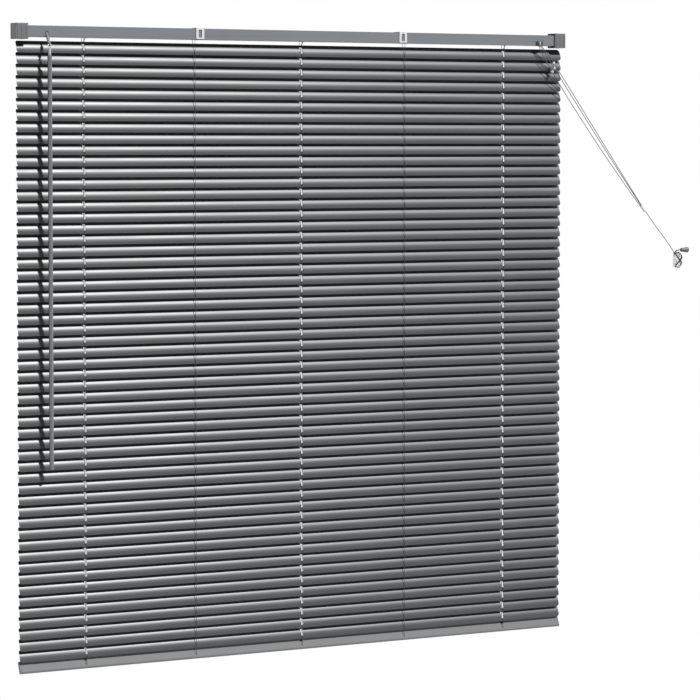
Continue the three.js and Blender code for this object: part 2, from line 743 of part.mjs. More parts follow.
function cordLock() {
  const base = headrailFloor + gap;
  const front = headrailFront + headrailWall + gap;
  const body = box([lockEntry, lockEntry + lockLength], [front, -headrailBack - 6], [base, -3]);
  const snout = box(
    [lockPlace - snoutLength / 2, lockPlace + snoutLength / 2],
    [headrailFront - snoutReach, front + 1],
    [snoutBottom, snoutTop],
  );
  const half = lockRollerRadius + 0.5;
  const travel = lockSlope.clone().multiplyScalar(lockTravel);
  const cavity = box(
    [lockPlace - lockCavity / 2, lockPlace + lockCavity / 2],
    [lockRollerMiddle.y - half, lockRollerMiddle.y + half + travel.y],
    [lockRollerMiddle.z - lockRollerRadius - gap, 0],
  );
  const cordWay = box(
    [lockPlace - snoutLength / 2 + 1.5, lockPlace + snoutLength / 2 - 1.5],
    [headrailFront - snoutReach + 1.2, lockRollerMiddle.y],
    [snoutBottom - 1, snoutTop - 1.6],
  );
  return cut(join(body, snout), cavity, cordWay);
}

function lockRoller() {
  const knurls = 12;
  const points = Array.from({ length: knurls * 2 }, (_, i) => {
    const angle = (Math.PI * i) / knurls;
    const radius = i % 2 ? lockRollerRadius - 0.35 : lockRollerRadius;
    return [lockRollerMiddle.y + radius * Math.cos(angle), lockRollerMiddle.z + radius * Math.sin(angle)];
  });
  return alongX(outline(points), [lockPlace - lockRollerLength / 2, lockPlace + lockRollerLength / 2]);
}
add("cord_lock_body", cordLock(), whitePlastic);
add("cord_lock_roller", lockRoller(), steel);

// ------------------------------------------------ pull cords, their stops and the connector
// Each pull cord is one cubic curve from the lock to the connector; the slackest hangs lowest.
// For each: its side of the lock, and where its curve leaves from, bears towards, and ends.
const cordExit = V(lockPlace, headrailFront - 1.7, snoutBottom - 1);
const cordSpread = 2.6; // from one cord to the next, where they leave the lock
const connectorTop = cleatPlace.clone().add(V(-102, -24, 116.7));
const connectorAxis = V(0.668, 0, -0.744).normalize();
const pullCurves = [
  [1, V(26.4, -5.8, -27), V(-128, -6, 170.3), V(1.2, 0, 1.1)],
  [0, V(26, -6.8, -37), V(-118, -6, 148.3), V(-0.1, -1.4, 0)],
  [-1, V(11.6, -7.8, -39), V(-114, -6, 126.3), V(-1.2, 0.8, -0.8)],
].map(([side, leaving, arriving, ending]) => {
  const start = cordExit.clone().add(V(side * cordSpread, 0, 0));
  const [late, end] = [arriving, ending].map((offset) => connectorTop.clone().add(offset));
  return new THREE.CubicBezierCurve3(start, start.clone().add(leaving), late, end);
});
const stopShares = [0.237, 0.248, 0.262]; // of the way along its cord
const pullSteps = 16;

pullCurves.forEach((curve, i) => {
  add(`pull_cord_${i + 1}`, tube(curve.getPoints(pullSteps), cordRadius), cordFibre);
  const middle = curve.getPoint(stopShares[i]);
  const axis = curve.getTangent(stopShares[i]);
  const inner = cordRadius + gap + 0.1;
  const half = stopLength / 2;
  const profile = [
    [inner, -half],
    [stopRadius * 0.8, -half],
    [stopRadius, -half * 0.5],
    [stopRadius, half * 0.5],
    [stopRadius * 0.8, half],
    [inner, half],
    [inner, -half],
  ];
  add(`cord_stop_${i + 1}`, turned(profile, middle, axis), clearPlastic);
});

const connectorProfile = [
  [0, 0],
  [connectorRadius * 0.8, 0],
  [connectorRadius, 2],
  [connectorRadius, connectorLength - 5],
  [connectorRadius * 0.55, connectorLength],
  [0, connectorLength],
];
add("cord_connector", turned(connectorProfile, connectorTop, connectorAxis, 14), whitePlastic);

// ------------------------------------------------ wall cleat
function cordCleat() {
  const { x, z } = cleatPlace;
  const centred = (width) => [x - width / 2, x + width / 2];
  const level = (height) => [z - height / 2, z + height / 2];
  const hornBack = -(cleatBaseThickness + cleatThroat);
  const base = box(centred(cleatBaseWidth), [-cleatBaseThickness, 0], level(cleatBaseHeight));
  const postDepth = [hornBack - 1, -cleatBaseThickness + 0.5];
  const post = box(centred(cleatPostWidth), postDepth, level(cleatPostHeight));
  const tip = cleatHeight / 2;
  const horns = outline([
    [hornBack, -tip * 0.6],
    [hornBack + 1.5, -tip],
    [hornBack - cleatHornThickness * 0.6, -tip],
    [hornBack - cleatHornThickness, -tip * 0.5],
    [hornBack - cleatHornThickness, tip * 0.5],
    [hornBack - cleatHornThickness * 0.6, tip],
    [hornBack + 1.5, tip],
    [hornBack, tip * 0.6],
  ].map(([y, height]) => [y, z + height]));
  return join(base, post, alongX(horns, centred(cleatHornWidth)));
}
add("cord_cleat", cordCleat(), whitePlastic);

// ------------------------------------------------ draw cord wound on the cleat, and its tassel
const connectorFoot = connectorTop.clone().addScaledVector(connectorAxis, connectorLength + gap);
const windingTurn = 1.8; // the winding's outer end moves in by this much at each turn
const windingHalfHeight = 17.5;
const windingHalfWidth = 6.2;
const windingLayer = 1.8;
const windingFront = 10.2; // from behind the horns out to the front of the first turn

function winding(angle) {
  const turns = angle / (2 * Math.PI);
  const halfHeight = windingHalfHeight - windingTurn * turns;
  const front = (1 - Math.cos(2 * angle)) / 2; // 0 behind a horn, 1 in front of the post
  const layer = windingLayer * 2 * turns;
  return V(
    cleatPlace.x - windingHalfWidth * Math.sin(2 * angle),
    -(cleatBaseThickness + cleatThroat / 2) - front * (windingFront + layer),
    cleatPlace.z + halfHeight * Math.cos(angle),
  );
}

const fromCleat = (points) => points.map((offset) => cleatPlace.clone().add(V(...offset)));
const approach = fromCleat([
  [-70, -23.6, 79.5],
  [-46, -22.6, 52],
  [-26, -20.6, 29.5],
  [-15, -17, 17.4],
]);
const tail = fromCleat([
  [-6, -6.6, 11.6],
  [-9.4, -11.4, 15],
  [-8.4, -16.8, 19.6],
  [-4.6, -20.2, 21.4],
]);
const [tasselTop] = fromCleat([[-0.4, -20.8, 21.4]]);
const windingStart = Math.PI / 4;
const windingAngle = 3.75 * Math.PI;
const windingSteps = 40;

function drawCordPoints() {
  const steps = Array.from({ length: windingSteps + 1 }, (_, i) => i / windingSteps);
  const wound = steps.map((share) => winding(windingStart + windingAngle * share));
  return [connectorFoot, ...approach, ...wound, ...tail, tasselTop.clone().add(V(-gap, 0, 0))];
}

const tasselProfile = [
  [0, 0],
  [tasselRadius * 0.4, 0],
  [tasselRadius * 0.62, tasselLength * 0.12],
  [tasselRadius, tasselLength * 0.85],
  [tasselRadius * 0.9, tasselLength],
  [0, tasselLength],
];
add("draw_cord", tube(drawCordPoints(), cordRadius), cordFibre);
add("cord_tassel", turned(tasselProfile, tasselTop, V(1, 0, 0), 14), darkPlastic);

export default blind;
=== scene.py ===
# %% [markdown]
# # A venetian blind in grey aluminium
# The blind hangs from a steel headrail: 55 thin slats rest on string ladders, a wand turns them, and three
# cords lift them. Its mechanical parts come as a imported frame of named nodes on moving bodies. This lesson
# keeps the parts whose shape is already right, gives every part its finish, and works out the slats,
# strings, cords and turned plastic pieces as surfaces with numpy. Sizes are in millimetres until a point
# enters a mesh.

# %% Loading the frame
import math

import bmesh
import bpy
import numpy as np
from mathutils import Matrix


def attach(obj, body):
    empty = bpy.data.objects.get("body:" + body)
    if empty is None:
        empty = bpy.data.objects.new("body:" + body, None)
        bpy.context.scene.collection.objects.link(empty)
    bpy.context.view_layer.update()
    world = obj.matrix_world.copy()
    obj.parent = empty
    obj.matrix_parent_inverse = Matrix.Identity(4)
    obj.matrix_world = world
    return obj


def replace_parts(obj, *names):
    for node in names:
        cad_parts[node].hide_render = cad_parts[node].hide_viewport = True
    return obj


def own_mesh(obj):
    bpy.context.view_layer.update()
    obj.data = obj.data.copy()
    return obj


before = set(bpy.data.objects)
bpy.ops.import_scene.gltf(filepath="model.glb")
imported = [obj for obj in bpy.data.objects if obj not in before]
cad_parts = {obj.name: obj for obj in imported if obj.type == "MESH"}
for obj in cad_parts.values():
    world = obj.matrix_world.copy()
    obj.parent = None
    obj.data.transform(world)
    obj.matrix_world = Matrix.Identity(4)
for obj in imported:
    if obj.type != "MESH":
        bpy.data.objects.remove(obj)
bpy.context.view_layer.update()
MM = 0.001

# %% [markdown]
# ## The camera
# A blind is tall and flat, so a long lens keeps its slats nearly parallel. The camera stands to the left,
# level with the upper slats. A small downward turn and a small lens shift share the work of framing the
# whole drop, so that the upright edges stay nearly upright.

# %% Camera
CAMERA_PLACE = (-2.3635, -5.0057, -0.2203)
CAMERA_TURN = (87.302, 0.0, -26.357)  # degrees
CAMERA_LENS = 142.86
CAMERA_SHIFT = -0.11

camera_data = bpy.data.cameras.new("camera")
camera_data.lens = CAMERA_LENS
camera_data.shift_y = CAMERA_SHIFT
camera = bpy.data.objects.new("camera", camera_data)
camera.location = CAMERA_PLACE
camera.rotation_euler = np.radians(CAMERA_TURN)
bpy.context.scene.collection.objects.link(camera)
bpy.context.scene.camera = camera

# %% [markdown]
# ## Making a mesh from numbers
# Every new piece is a grid of points with quads between them. One helper puts such a grid into a mesh in
# metres, merges the points that coincide at poles and seams, turns the faces outwards, and marks the sharp
# edges. The object stays at the origin, with its place in its mesh, as the frame's own nodes do.

# %% Mesh helpers
SHARP_EDGE = math.radians(35)
WELD = 1e-6  # metres


def grid_faces(rows, columns, ring=True, loop=False):
    """Quads between the points of a grid stored row by row.

    ring closes each row, and loop joins the last row to the first.
    """
    i = np.arange(rows if loop else rows - 1)[:, None]
    j = np.arange(columns if ring else columns - 1)[None, :]
    below, right = (i + 1) % rows, (j + 1) % columns
    quads = [i * columns + j, i * columns + right, below * columns + right, below * columns + j]
    return np.stack(quads, axis=-1).reshape(-1, 4)


def make_piece(name, shape, body, finish):
    """A closed mesh object that rides on a body and wears a finish.

    Its shape is points in millimetres, faces, and perhaps two UV numbers for each corner of the quads that
    come first.
    """
    points, faces, uv = (*shape, None)[:3]
    mesh = bpy.data.meshes.new(name)
    mesh.from_pydata((np.asarray(points) * MM).tolist(), [], [list(map(int, face)) for face in faces])
    if uv is not None:
        layer = mesh.uv_layers.new(name="along")
        corners = np.zeros((len(mesh.loops), 2), np.float32)
        corners[: len(uv)] = uv
        layer.data.foreach_set("uv", corners.ravel())
    edit = bmesh.new()
    edit.from_mesh(mesh)
    bmesh.ops.remove_doubles(edit, verts=edit.verts, dist=WELD)
    bmesh.ops.recalc_face_normals(edit, faces=edit.faces)
    edit.to_mesh(mesh)
    edit.free()
    mesh.shade_smooth()
    mesh.set_sharp_from_angle(angle=SHARP_EDGE)
    mesh.materials.append(MATERIALS[finish])
    made = bpy.data.objects.new(name, mesh)
    bpy.context.scene.collection.objects.link(made)
    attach(made, body)
    return made


# %% [markdown]
# ## Shader groups
# Four effects come back in many finishes, so each is one node group: the faint orange peel and slow tone of
# sprayed paint, the drawn lines of rolled metal, the crossing strands of a braid, and the soft mottling of
# moulded plastic. A group puts out only colours, roughness values and heights. The Principled shader stays
# in each material, where the plain numbers are set on its own sockets.

# %% Group helpers
def new_group(name, inputs, outputs):
    """An empty shader group. Each socket is a name, a kind and, for an input, a value."""
    group = bpy.data.node_groups.new(name, "ShaderNodeTree")
    for label, kind, value in inputs:
        made = group.interface.new_socket(
            name=label, in_out="INPUT", socket_type=f"NodeSocket{kind}")
        if value is not None:
            made.default_value = value
    for label, kind in outputs:
        group.interface.new_socket(name=label, in_out="OUTPUT", socket_type=f"NodeSocket{kind}")
    return group, group.nodes.new("NodeGroupInput"), group.nodes.new("NodeGroupOutput")


def add_node(tree, kind, settings=(), **values):
    """A node with its settings and inputs filled in. An input is a value or the socket to link."""
    made = tree.nodes.new(f"ShaderNode{kind}")
    for key, value in dict(settings).items():
        setattr(made, key, value)
    for key, value in values.items():
        numbered = key[0] == "i" and key[1:].isdigit()
        socket = made.inputs[int(key[1:]) if numbered else key.replace("_", " ")]
        if isinstance(value, bpy.types.NodeSocket):
            tree.links.new(value, socket)
        else:
            socket.default_value = value
    return made


def calc(tree, operation, *terms):
    """The result of one Math node."""
    inputs = {f"i{k}": term for k, term in enumerate(terms)}
    return add_node(tree, "Math", {"operation": operation}, **inputs).outputs[0]


def tone_between(tree, colour, low, high, share):
    """A colour made darker or lighter as share goes from 0 to 1."""
    value = add_node(tree, "MapRange", i0=share, i3=low, i4=high).outputs[0]
    return add_node(tree, "VectorMath", {"operation": "SCALE"}, i0=colour, Scale=value).outputs[0]


# %% The four groups
SURFACE_OUTPUTS = [("Colour", "Color"), ("Roughness", "Float"), ("Height", "Float")]


def paint_group():
    """Sprayed paint: fine noise for the peel, and a slow noise for tone and gloss."""
    sockets = [("Place", "Vector", None), ("Colour", "Color", None), ("Gloss", "Float", 0.4),
               ("Peel", "Float", 900.0)]
    group, given, out = new_group("sprayed paint", sockets, SURFACE_OUTPUTS)
    place = given.outputs["Place"]
    peel = add_node(group, "TexNoise", Vector=place, Scale=given.outputs["Peel"], Detail=2.0)
    slow = add_node(group, "TexNoise", Vector=place, Scale=9.0, Detail=3.0)
    colour = tone_between(group, given.outputs["Colour"], 0.93, 1.07, slow.outputs[0])
    group.links.new(colour, out.inputs["Colour"])
    rough = add_node(group, "MapRange", i0=slow.outputs[0], i3=-0.05, i4=0.05).outputs[0]
    group.links.new(calc(group, "ADD", given.outputs["Gloss"], rough), out.inputs["Roughness"])
    group.links.new(peel.outputs[0], out.inputs["Height"])
    return group


def drawn_group():
    """Drawn metal: noise stretched along the direction of drawing."""
    sockets = [("Place", "Vector", None), ("Colour", "Color", None),
               ("Stretch", "Vector", (20.0, 1800.0, 1800.0))]
    group, given, out = new_group("drawn metal", sockets, SURFACE_OUTPUTS)
    place = add_node(group, "VectorMath", {"operation": "MULTIPLY"},
                     i0=given.outputs["Place"], i1=given.outputs["Stretch"])
    lines = add_node(group, "TexNoise", Vector=place.outputs[0], Scale=1.0, Detail=3.0)
    colour = tone_between(group, given.outputs["Colour"], 0.85, 1.1, lines.outputs[0])
    group.links.new(colour, out.inputs["Colour"])
    rough = add_node(group, "MapRange", i0=lines.outputs[0], i3=0.28, i4=0.46).outputs[0]
    group.links.new(rough, out.inputs["Roughness"])
    group.links.new(lines.outputs[0], out.inputs["Height"])
    return group


def braid_group():
    """A braid: two families of helical strands, over the turn U and the length V in millimetres.

    Where both waves are low the strands part, and the colour there is darkened as painted shade in the gaps;
    on the crowns it is lifted a little as painted light.
    """
    sockets = [("UV", "Vector", None), ("Colour", "Color", None),
               ("Strands", "Float", 4.0), ("Pitch", "Float", 3.0)]
    group, given, out = new_group("braid", sockets, [("Colour", "Color"), ("Height", "Float")])
    split = add_node(group, "SeparateXYZ", i0=given.outputs["UV"])
    turn = calc(group, "MULTIPLY", split.outputs[0], given.outputs["Strands"])
    rise = calc(group, "DIVIDE", split.outputs[1], given.outputs["Pitch"])
    waves = []
    for operation in ("ADD", "SUBTRACT"):
        phase = calc(group, "MULTIPLY", calc(group, operation, turn, rise), 2 * math.pi)
        waves.append(calc(group, "ABSOLUTE", calc(group, "SINE", phase)))
    height = calc(group, "MAXIMUM", *waves)
    # painted shade and light: the colour is darker in the gaps between strands and a little lighter on their
    # crowns
    colour = tone_between(group, given.outputs["Colour"], 0.75, 1.1, height)
    group.links.new(colour, out.inputs["Colour"])
    group.links.new(height, out.inputs["Height"])
    return group


def moulded_group():
    """Moulded plastic: a fine spark-eroded texture with slow mottling in its tone."""
    sockets = [("Place", "Vector", None), ("Colour", "Color", None), ("Gloss", "Float", 0.4),
               ("Texture", "Float", 1400.0)]
    group, given, out = new_group("moulded plastic", sockets, SURFACE_OUTPUTS)
    place = given.outputs["Place"]
    fine = add_node(group, "TexNoise", Vector=place, Scale=given.outputs["Texture"], Detail=2.0)
    slow = add_node(group, "TexNoise", Vector=place, Scale=60.0, Detail=2.0)
    colour = tone_between(group, given.outputs["Colour"], 0.94, 1.05, slow.outputs[0])
    group.links.new(colour, out.inputs["Colour"])
    rough = add_node(group, "MapRange", i0=slow.outputs[0], i3=-0.04, i4=0.06).outputs[0]
    group.links.new(calc(group, "ADD", given.outputs["Gloss"], rough), out.inputs["Roughness"])
    group.links.new(fine.outputs[0], out.inputs["Height"])
    return group


GROUPS = {"paint": paint_group(), "drawn": drawn_group(), "braid": braid_group(),
          "moulded": moulded_group()}
print("shader groups:", ", ".join(GROUPS))


# %% [markdown]
# ## The finishes
# The slats are roll-formed from aluminium strip with a satin grey lacquer. The headrail and brackets are
# sprayed steel. The cords and ladders are braided polyester, and the small parts are moulded plastic.

# %% Materials
def finish(name, group, colour, roughness, depth,
           metallic=0.0, coordinates="Object", sockets=(), **choices):
    """A material whose colour, roughness and bump come from a group.

    depth is the bump's height in metres. sockets are set on the Principled shader, and choices on the group.
    """
    made = bpy.data.materials.new(name)
    made.use_nodes = True
    tree = made.node_tree
    shader = tree.nodes["Principled BSDF"]
    shader.inputs["Metallic"].default_value = metallic
    shader.inputs["Roughness"].default_value = roughness
    for key, value in dict(sockets).items():
        shader.inputs[key].default_value = value
    place = tree.nodes.new("ShaderNodeTexCoord").outputs[coordinates]
    effect = tree.nodes.new("ShaderNodeGroup")
    effect.node_tree = GROUPS[group]
    tree.links.new(place, effect.inputs[0])
    effect.inputs["Colour"].default_value = (*colour, 1.0)
    if "Gloss" in effect.inputs:
        effect.inputs["Gloss"].default_value = roughness
    for key, value in choices.items():
        effect.inputs[key].default_value = value
    bump = add_node(tree, "Bump", Height=effect.outputs["Height"], Distance=depth, Strength=1.0)
    tree.links.new(effect.outputs["Colour"], shader.inputs["Base Color"])
    tree.links.new(bump.outputs[0], shader.inputs["Normal"])
    if "Roughness" in effect.outputs:
        tree.links.new(effect.outputs["Roughness"], shader.inputs["Roughness"])
    return made


MATERIALS = {
    "slat_paint": finish("slat_paint", "paint", (0.042, 0.045, 0.048), 0.35, 4e-6,
                         sockets={"Specular IOR Level": 0.5}),
    "headrail_paint": finish("headrail_paint", "paint", (0.180, 0.196, 0.215), 0.42, 6e-6),
    "bracket_paint": finish("bracket_paint", "paint", (0.146, 0.153, 0.160), 0.45, 8e-6),
    "rail_paint": finish("rail_paint", "paint", (0.150, 0.155, 0.158), 0.50, 6e-6,
                         sockets={"Specular IOR Level": 0.25}),
    "steel": finish("steel", "drawn", (0.52, 0.53, 0.55), 0.35, 4e-6, metallic=1.0),
    "white_plastic": finish("white_plastic", "moulded", (0.72, 0.73, 0.74), 0.35, 4e-6),
    "lip_plastic": finish("lip_plastic", "moulded", (0.420, 0.440, 0.390), 0.35, 4e-6),
    "grey_plastic": finish("grey_plastic", "moulded", (0.150, 0.155, 0.165), 0.5, 8e-6),
    "dark_plastic": finish("dark_plastic", "moulded", (0.045, 0.047, 0.050), 0.4, 5e-6),
    "tassel_plastic": finish("tassel_plastic", "moulded", (0.105, 0.108, 0.113), 0.4, 5e-6),
    "stem_plastic": finish("stem_plastic", "moulded", (0.260, 0.265, 0.275), 0.4, 4e-6),
    "wand_plastic": finish("wand_plastic", "moulded", (0.165, 0.170, 0.180), 0.3, 3e-6),
    "clear_plastic": finish("clear_plastic", "moulded", (0.78, 0.80, 0.81), 0.2, 2e-6,
                            sockets={"Transmission Weight": 0.5}),
    "cleat_plastic": finish("cleat_plastic", "moulded", (0.93, 0.94, 0.94), 0.15, 2e-6,
                            sockets={"Transmission Weight": 0.7, "IOR": 1.25}),
    "ladder_string": finish("ladder_string", "braid", (0.060, 0.063, 0.068), 0.85, 5e-5,
                            coordinates="UV", Pitch=2.0),
    "cord_fibre": finish("cord_fibre", "braid", (0.075, 0.077, 0.082), 0.85, 8e-5, coordinates="UV"),
}
print("finishes:", len(MATERIALS))

# %% [markdown]
# ## Carrying a round profile along a path
# Cords, strings and wires are all the same shape: a circle carried along a line of points. The circle must
# not twist as the line turns, or the braid would twist with it. So each ring's frame is the last one turned
# by the angle between two steps of the path, which is the smallest turn that keeps it square to the line.

# %% Tubes
def turn_onto(old, new, vector):
    """vector, turned as the shortest turn takes the unit direction old to new."""
    axis = np.cross(old, new)
    cosine = float(old @ new)
    if np.linalg.norm(axis) < 1e-9:
        return vector
    return vector * cosine + np.cross(axis, vector) + axis * (axis @ vector) / (1 + cosine)


def directions(path):
    """The unit direction of the path at each of its points, halfway between the steps that meet there."""
    steps = np.diff(path, axis=0)
    steps /= np.linalg.norm(steps, axis=1, keepdims=True)
    along = np.vstack([steps[:1], steps[:-1] + steps[1:], steps[-1:]])
    return along / np.linalg.norm(along, axis=1, keepdims=True)


def tube_grid(path, radius, sides):
    """Points of a tube: centre + radius * (cos a * side + sin a * up), at each point and each angle a."""
    path = np.asarray(path, float)
    along = directions(path)
    side = np.cross(along[0], np.eye(3)[np.argmin(np.abs(along[0]))])
    sides_at = [side / np.linalg.norm(side)]
    for old, new in zip(along[:-1], along[1:]):
        sides_at.append(turn_onto(old, new, sides_at[-1]))
    side = np.array(sides_at)
    up = np.cross(along, side)
    angle = np.arange(sides) * 2 * np.pi / sides
    radius = np.broadcast_to(radius, len(path))[:, None, None]
    cosine, sine = np.cos(angle)[None, :, None], np.sin(angle)[None, :, None]
    return path[:, None] + radius * (cosine * side[:, None] + sine * up[:, None])


def tube(path, radius, sides=10):
    """(points, faces, uv) of a closed tube. U goes round once, and V is the distance along in millimetres."""
    grid = tube_grid(path, radius, sides)
    rows = len(grid)
    faces = grid_faces(rows, sides)
    ends = [list(range(sides))[::-1], list(range((rows - 1) * sides, rows * sides))]
    steps = np.linalg.norm(np.diff(np.asarray(path, float), axis=0), axis=1)
    length = np.concatenate([[0], np.cumsum(steps)])
    i, j = np.divmod(np.arange((rows - 1) * sides), sides)
    u = np.stack([j, j + 1, j + 1, j], axis=1) / sides
    v = np.stack([length[i], length[i], length[i + 1], length[i + 1]], axis=1)
    return grid.reshape(-1, 3), faces.tolist() + ends, np.stack([u, v], axis=-1).reshape(-1, 2)


def joined(parts):
    """Several (points, faces, uv) shapes as one, with the quads that carry a UV first."""
    points, quads, caps, uvs, start = [], [], [], [], 0
    for part_points, faces, uv in parts:
        points.append(part_points)
        moved = [[k + start for k in face] for face in faces]
        quads += moved[: len(uv) // 4]
        caps += moved[len(uv) // 4 :]
        uvs.append(uv)
        start += len(part_points)
    return np.concatenate(points), quads + caps, np.concatenate(uvs)


def path_length(path):
    """The sum of the steps between a path's points."""
    return float(np.linalg.norm(np.diff(np.asarray(path, float), axis=0), axis=1).sum())


# %% [markdown]
# ## The pull cords and the draw cord
# Three braided cords leave the cord lock at the right end of the headrail and run taut, at slightly
# different lengths, to one moulded connector. A single draw cord goes on from there to the cleat on the
# wall, where it crosses in a figure of eight, and ends in a tassel. The pull cords are cubic curves. The
# draw cord follows listed points up to the cleat and away from it, with a computed winding between them. All
# of them match the frame's.

# %% Cord routes
CORD_RADIUS = 0.75
PULL_STEPS = 16
PULL_CURVES = np.array([
    [(541.6, -29.2, -21), (568, -35, -48), (662, -30, -184), (791.2, -24, -353.2)],
    [(539, -29.2, -21), (565, -36, -58), (672, -30, -206), (789.9, -25.4, -354.3)],
    [(536.4, -29.2, -21), (548, -37, -60), (676, -30, -228), (788.8, -23.2, -355.1)],
])
CONNECTOR_TOP = np.array([790, -24, -354.3])
CONNECTOR_AXIS = np.array([0.668, 0, -0.744]) / math.hypot(0.668, 0.744)
CONNECTOR_LENGTH = 18.7
DRAW_START = 19  # along the connector, so that the draw cord begins just past its end
CLEAT = np.array([892, 0, -471])
CLEAT_SIDES = (877, 900)  # between these X the draw cord lies on the cleat
WINDING_WIDTH = 6.2  # to each side
WINDING_HEIGHT, HEIGHT_LOSS = 17.5, 1.8  # up and down, and how much less after each turn
WINDING_BASE, WINDING_FRONT, FRONT_GAIN = 6, 10.2, 3.6  # out from the wall, and how much more after each turn
WINDING_STEPS = 40
TASSEL_TOP = np.array([891.6, -20.8, -449.6])


def cubic(points, share):
    """Points of a cubic curve at each share of its way, from its four control points."""
    share = np.asarray(share, float)[..., None]
    rest = 1 - share
    return (rest**3 * points[0] + 3 * rest**2 * share * points[1]
            + 3 * rest * share**2 * points[2] + share**3 * points[3])


def winding(angle):
    """The figure of eight on the cleat, across by the sine of twice the angle, up and down by its cosine.

    It stands out in front of the post at each crossing. Each turn lies shorter and further out than the last.
    """
    turns = angle / (2 * np.pi)
    front = (1 - np.cos(2 * angle)) / 2
    across = CLEAT[0] - WINDING_WIDTH * np.sin(2 * angle)
    out = -WINDING_BASE - front * (WINDING_FRONT + FRONT_GAIN * turns)
    up = CLEAT[2] + (WINDING_HEIGHT - HEIGHT_LOSS * turns) * np.cos(angle)
    return np.stack([across, out, up], axis=-1)


approach = [(822, -23.6, -391.5), (846, -22.6, -419), (866, -20.6, -441.5), (877, -17, -453.6)]
tail = [(886, -6.6, -459.4), (882.6, -11.4, -456), (883.6, -16.8, -451.4), (887.4, -20.2, -449.6)]
wound = winding(np.pi / 4 + 3.75 * np.pi * np.arange(WINDING_STEPS + 1) / WINDING_STEPS)
draw_start, draw_end = CONNECTOR_TOP + CONNECTOR_AXIS * DRAW_START, TASSEL_TOP - (0.3, 0, 0)
draw_route = np.vstack([draw_start, approach, wound, tail, draw_end])
pull_routes = [cubic(curve, np.arange(PULL_STEPS + 1) / PULL_STEPS) for curve in PULL_CURVES]
print("pull cords:", [round(path_length(route)) for route in pull_routes], "mm,",
      "draw cord:", round(path_length(draw_route)), "mm")


# %% [markdown]
# ## Turned plastic
# The stops, the connector and the tassel are all round about one line. Each is a profile of radius against
# height, swept round that line. Rounding a profile's corners with a short curve costs a few rings and gives
# the edge its highlight.

# %% Turned shapes
def frame_about(axis):
    """Two directions square to an axis, and the axis itself, each of length 1."""
    axis = np.asarray(axis, float) / np.linalg.norm(axis)
    side = np.cross(axis, np.eye(3)[np.argmin(np.abs(axis))])
    side /= np.linalg.norm(side)
    return side, np.cross(axis, side), axis


def turned(profile, start, axis, sides=32, loop=False):
    """(points, faces) of a profile of (radius, height) pairs, swept round the axis from start."""
    profile = np.asarray(profile, float)
    side, up, axis = frame_about(axis)
    angle = np.arange(sides) * 2 * np.pi / sides
    ring = np.cos(angle)[:, None] * side + np.sin(angle)[:, None] * up
    radius, height = profile[:, 0][:, None, None], profile[:, 1][:, None, None]
    grid = np.asarray(start, float) + height * axis + radius * ring
    return grid.reshape(-1, 3), grid_faces(len(profile), sides, loop=loop)


def softened(profile, radius, steps=3, loop=False):
    """A line with each inner corner replaced by a curve that begins and ends at most radius from it."""
    profile = np.asarray(profile, float)
    count = len(profile)
    out = [] if loop else [profile[0]]
    for k in range(count) if loop else range(1, count - 1):
        back, on = profile[k - 1] - profile[k], profile[(k + 1) % count] - profile[k]
        reach = min(radius, np.linalg.norm(back) / 2.01, np.linalg.norm(on) / 2.01)
        first = profile[k] + back / np.linalg.norm(back) * reach
        last = profile[k] + on / np.linalg.norm(on) * reach
        share = np.linspace(0, 1, steps + 1)[:, None]
        rest = 1 - share
        out.extend(rest**2 * first + 2 * share * rest * profile[k] + share**2 * last)
    return np.array(out if loop else [*out, profile[-1]])


# %% Stops, connector, tassel and the cords themselves
STOP_SHARES = (0.237, 0.248, 0.262)
STOP_RADIUS, STOP_LENGTH = 3.1, 6
CONNECTOR_RADIUS = 3.3
TASSEL_LENGTH, TASSEL_RADIUS = 19, 5.9
BORE_CLEARANCE = 0.4
CORD_RADIUS_ON_CLEAT = 1.0

stops = []
for k, (curve, share) in enumerate(zip(PULL_CURVES, STOP_SHARES), 1):
    middle = cubic(curve, share)
    axis = cubic(curve, share + 0.001) - middle
    half = STOP_LENGTH / 2
    bore = CORD_RADIUS + BORE_CLEARANCE
    profile = [(bore, -half), (STOP_RADIUS * 0.8, -half), (STOP_RADIUS, -half / 2), (STOP_RADIUS, half / 2),
               (STOP_RADIUS * 0.8, half), (bore, half)]
    shape = turned(softened(profile, 0.35, loop=True), middle, axis, loop=True)
    stops.append(make_piece(f"stop_on_cord_{k}", shape, "frame", "clear_plastic"))
    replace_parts(stops[-1], f"cord_stop_{k}")

r, h = CONNECTOR_RADIUS, CONNECTOR_LENGTH
profile = [(0, 0), (r * 0.78, 0), (r, 2), (r, 6.5), (r * 0.93, 7.2), (r * 0.93, 8.2), (r, 8.9), (r, h - 5),
           (r * 0.55, h), (0, h)]
shape = turned(softened(profile, 0.5), CONNECTOR_TOP, CONNECTOR_AXIS)
connector = make_piece("connector", shape, "frame", "white_plastic")
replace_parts(connector, "cord_connector")

r, h = TASSEL_RADIUS, TASSEL_LENGTH
profile = [(0, 0), (r * 0.5, 0), (r * 0.68, h * 0.1), (r, h * 0.85), (r * 0.9, h), (r * 0.5, h),
           (r * 0.42, h - 1.2), (0, h - 1.2)]
shape = turned(softened(profile, 1.2), TASSEL_TOP, (1, 0, 0))
tassel = make_piece("tassel", shape, "frame", "tassel_plastic")
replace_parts(tassel, "cord_tassel")

for k, (route, stop) in enumerate(zip(pull_routes, stops), 1):
    cord = make_piece(f"pull_cord_{k}_braid", tube(route, CORD_RADIUS), "frame", "cord_fibre")
    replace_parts(cord, f"pull_cord_{k}")
on_cleat = (draw_route[:, 0] > CLEAT_SIDES[0]) & (draw_route[:, 0] < CLEAT_SIDES[1])
radii = np.where(on_cleat, CORD_RADIUS_ON_CLEAT, CORD_RADIUS)
cord = make_piece("draw_cord_braid", tube(draw_route, radii), "frame", "cord_fibre")
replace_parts(cord, "draw_cord")

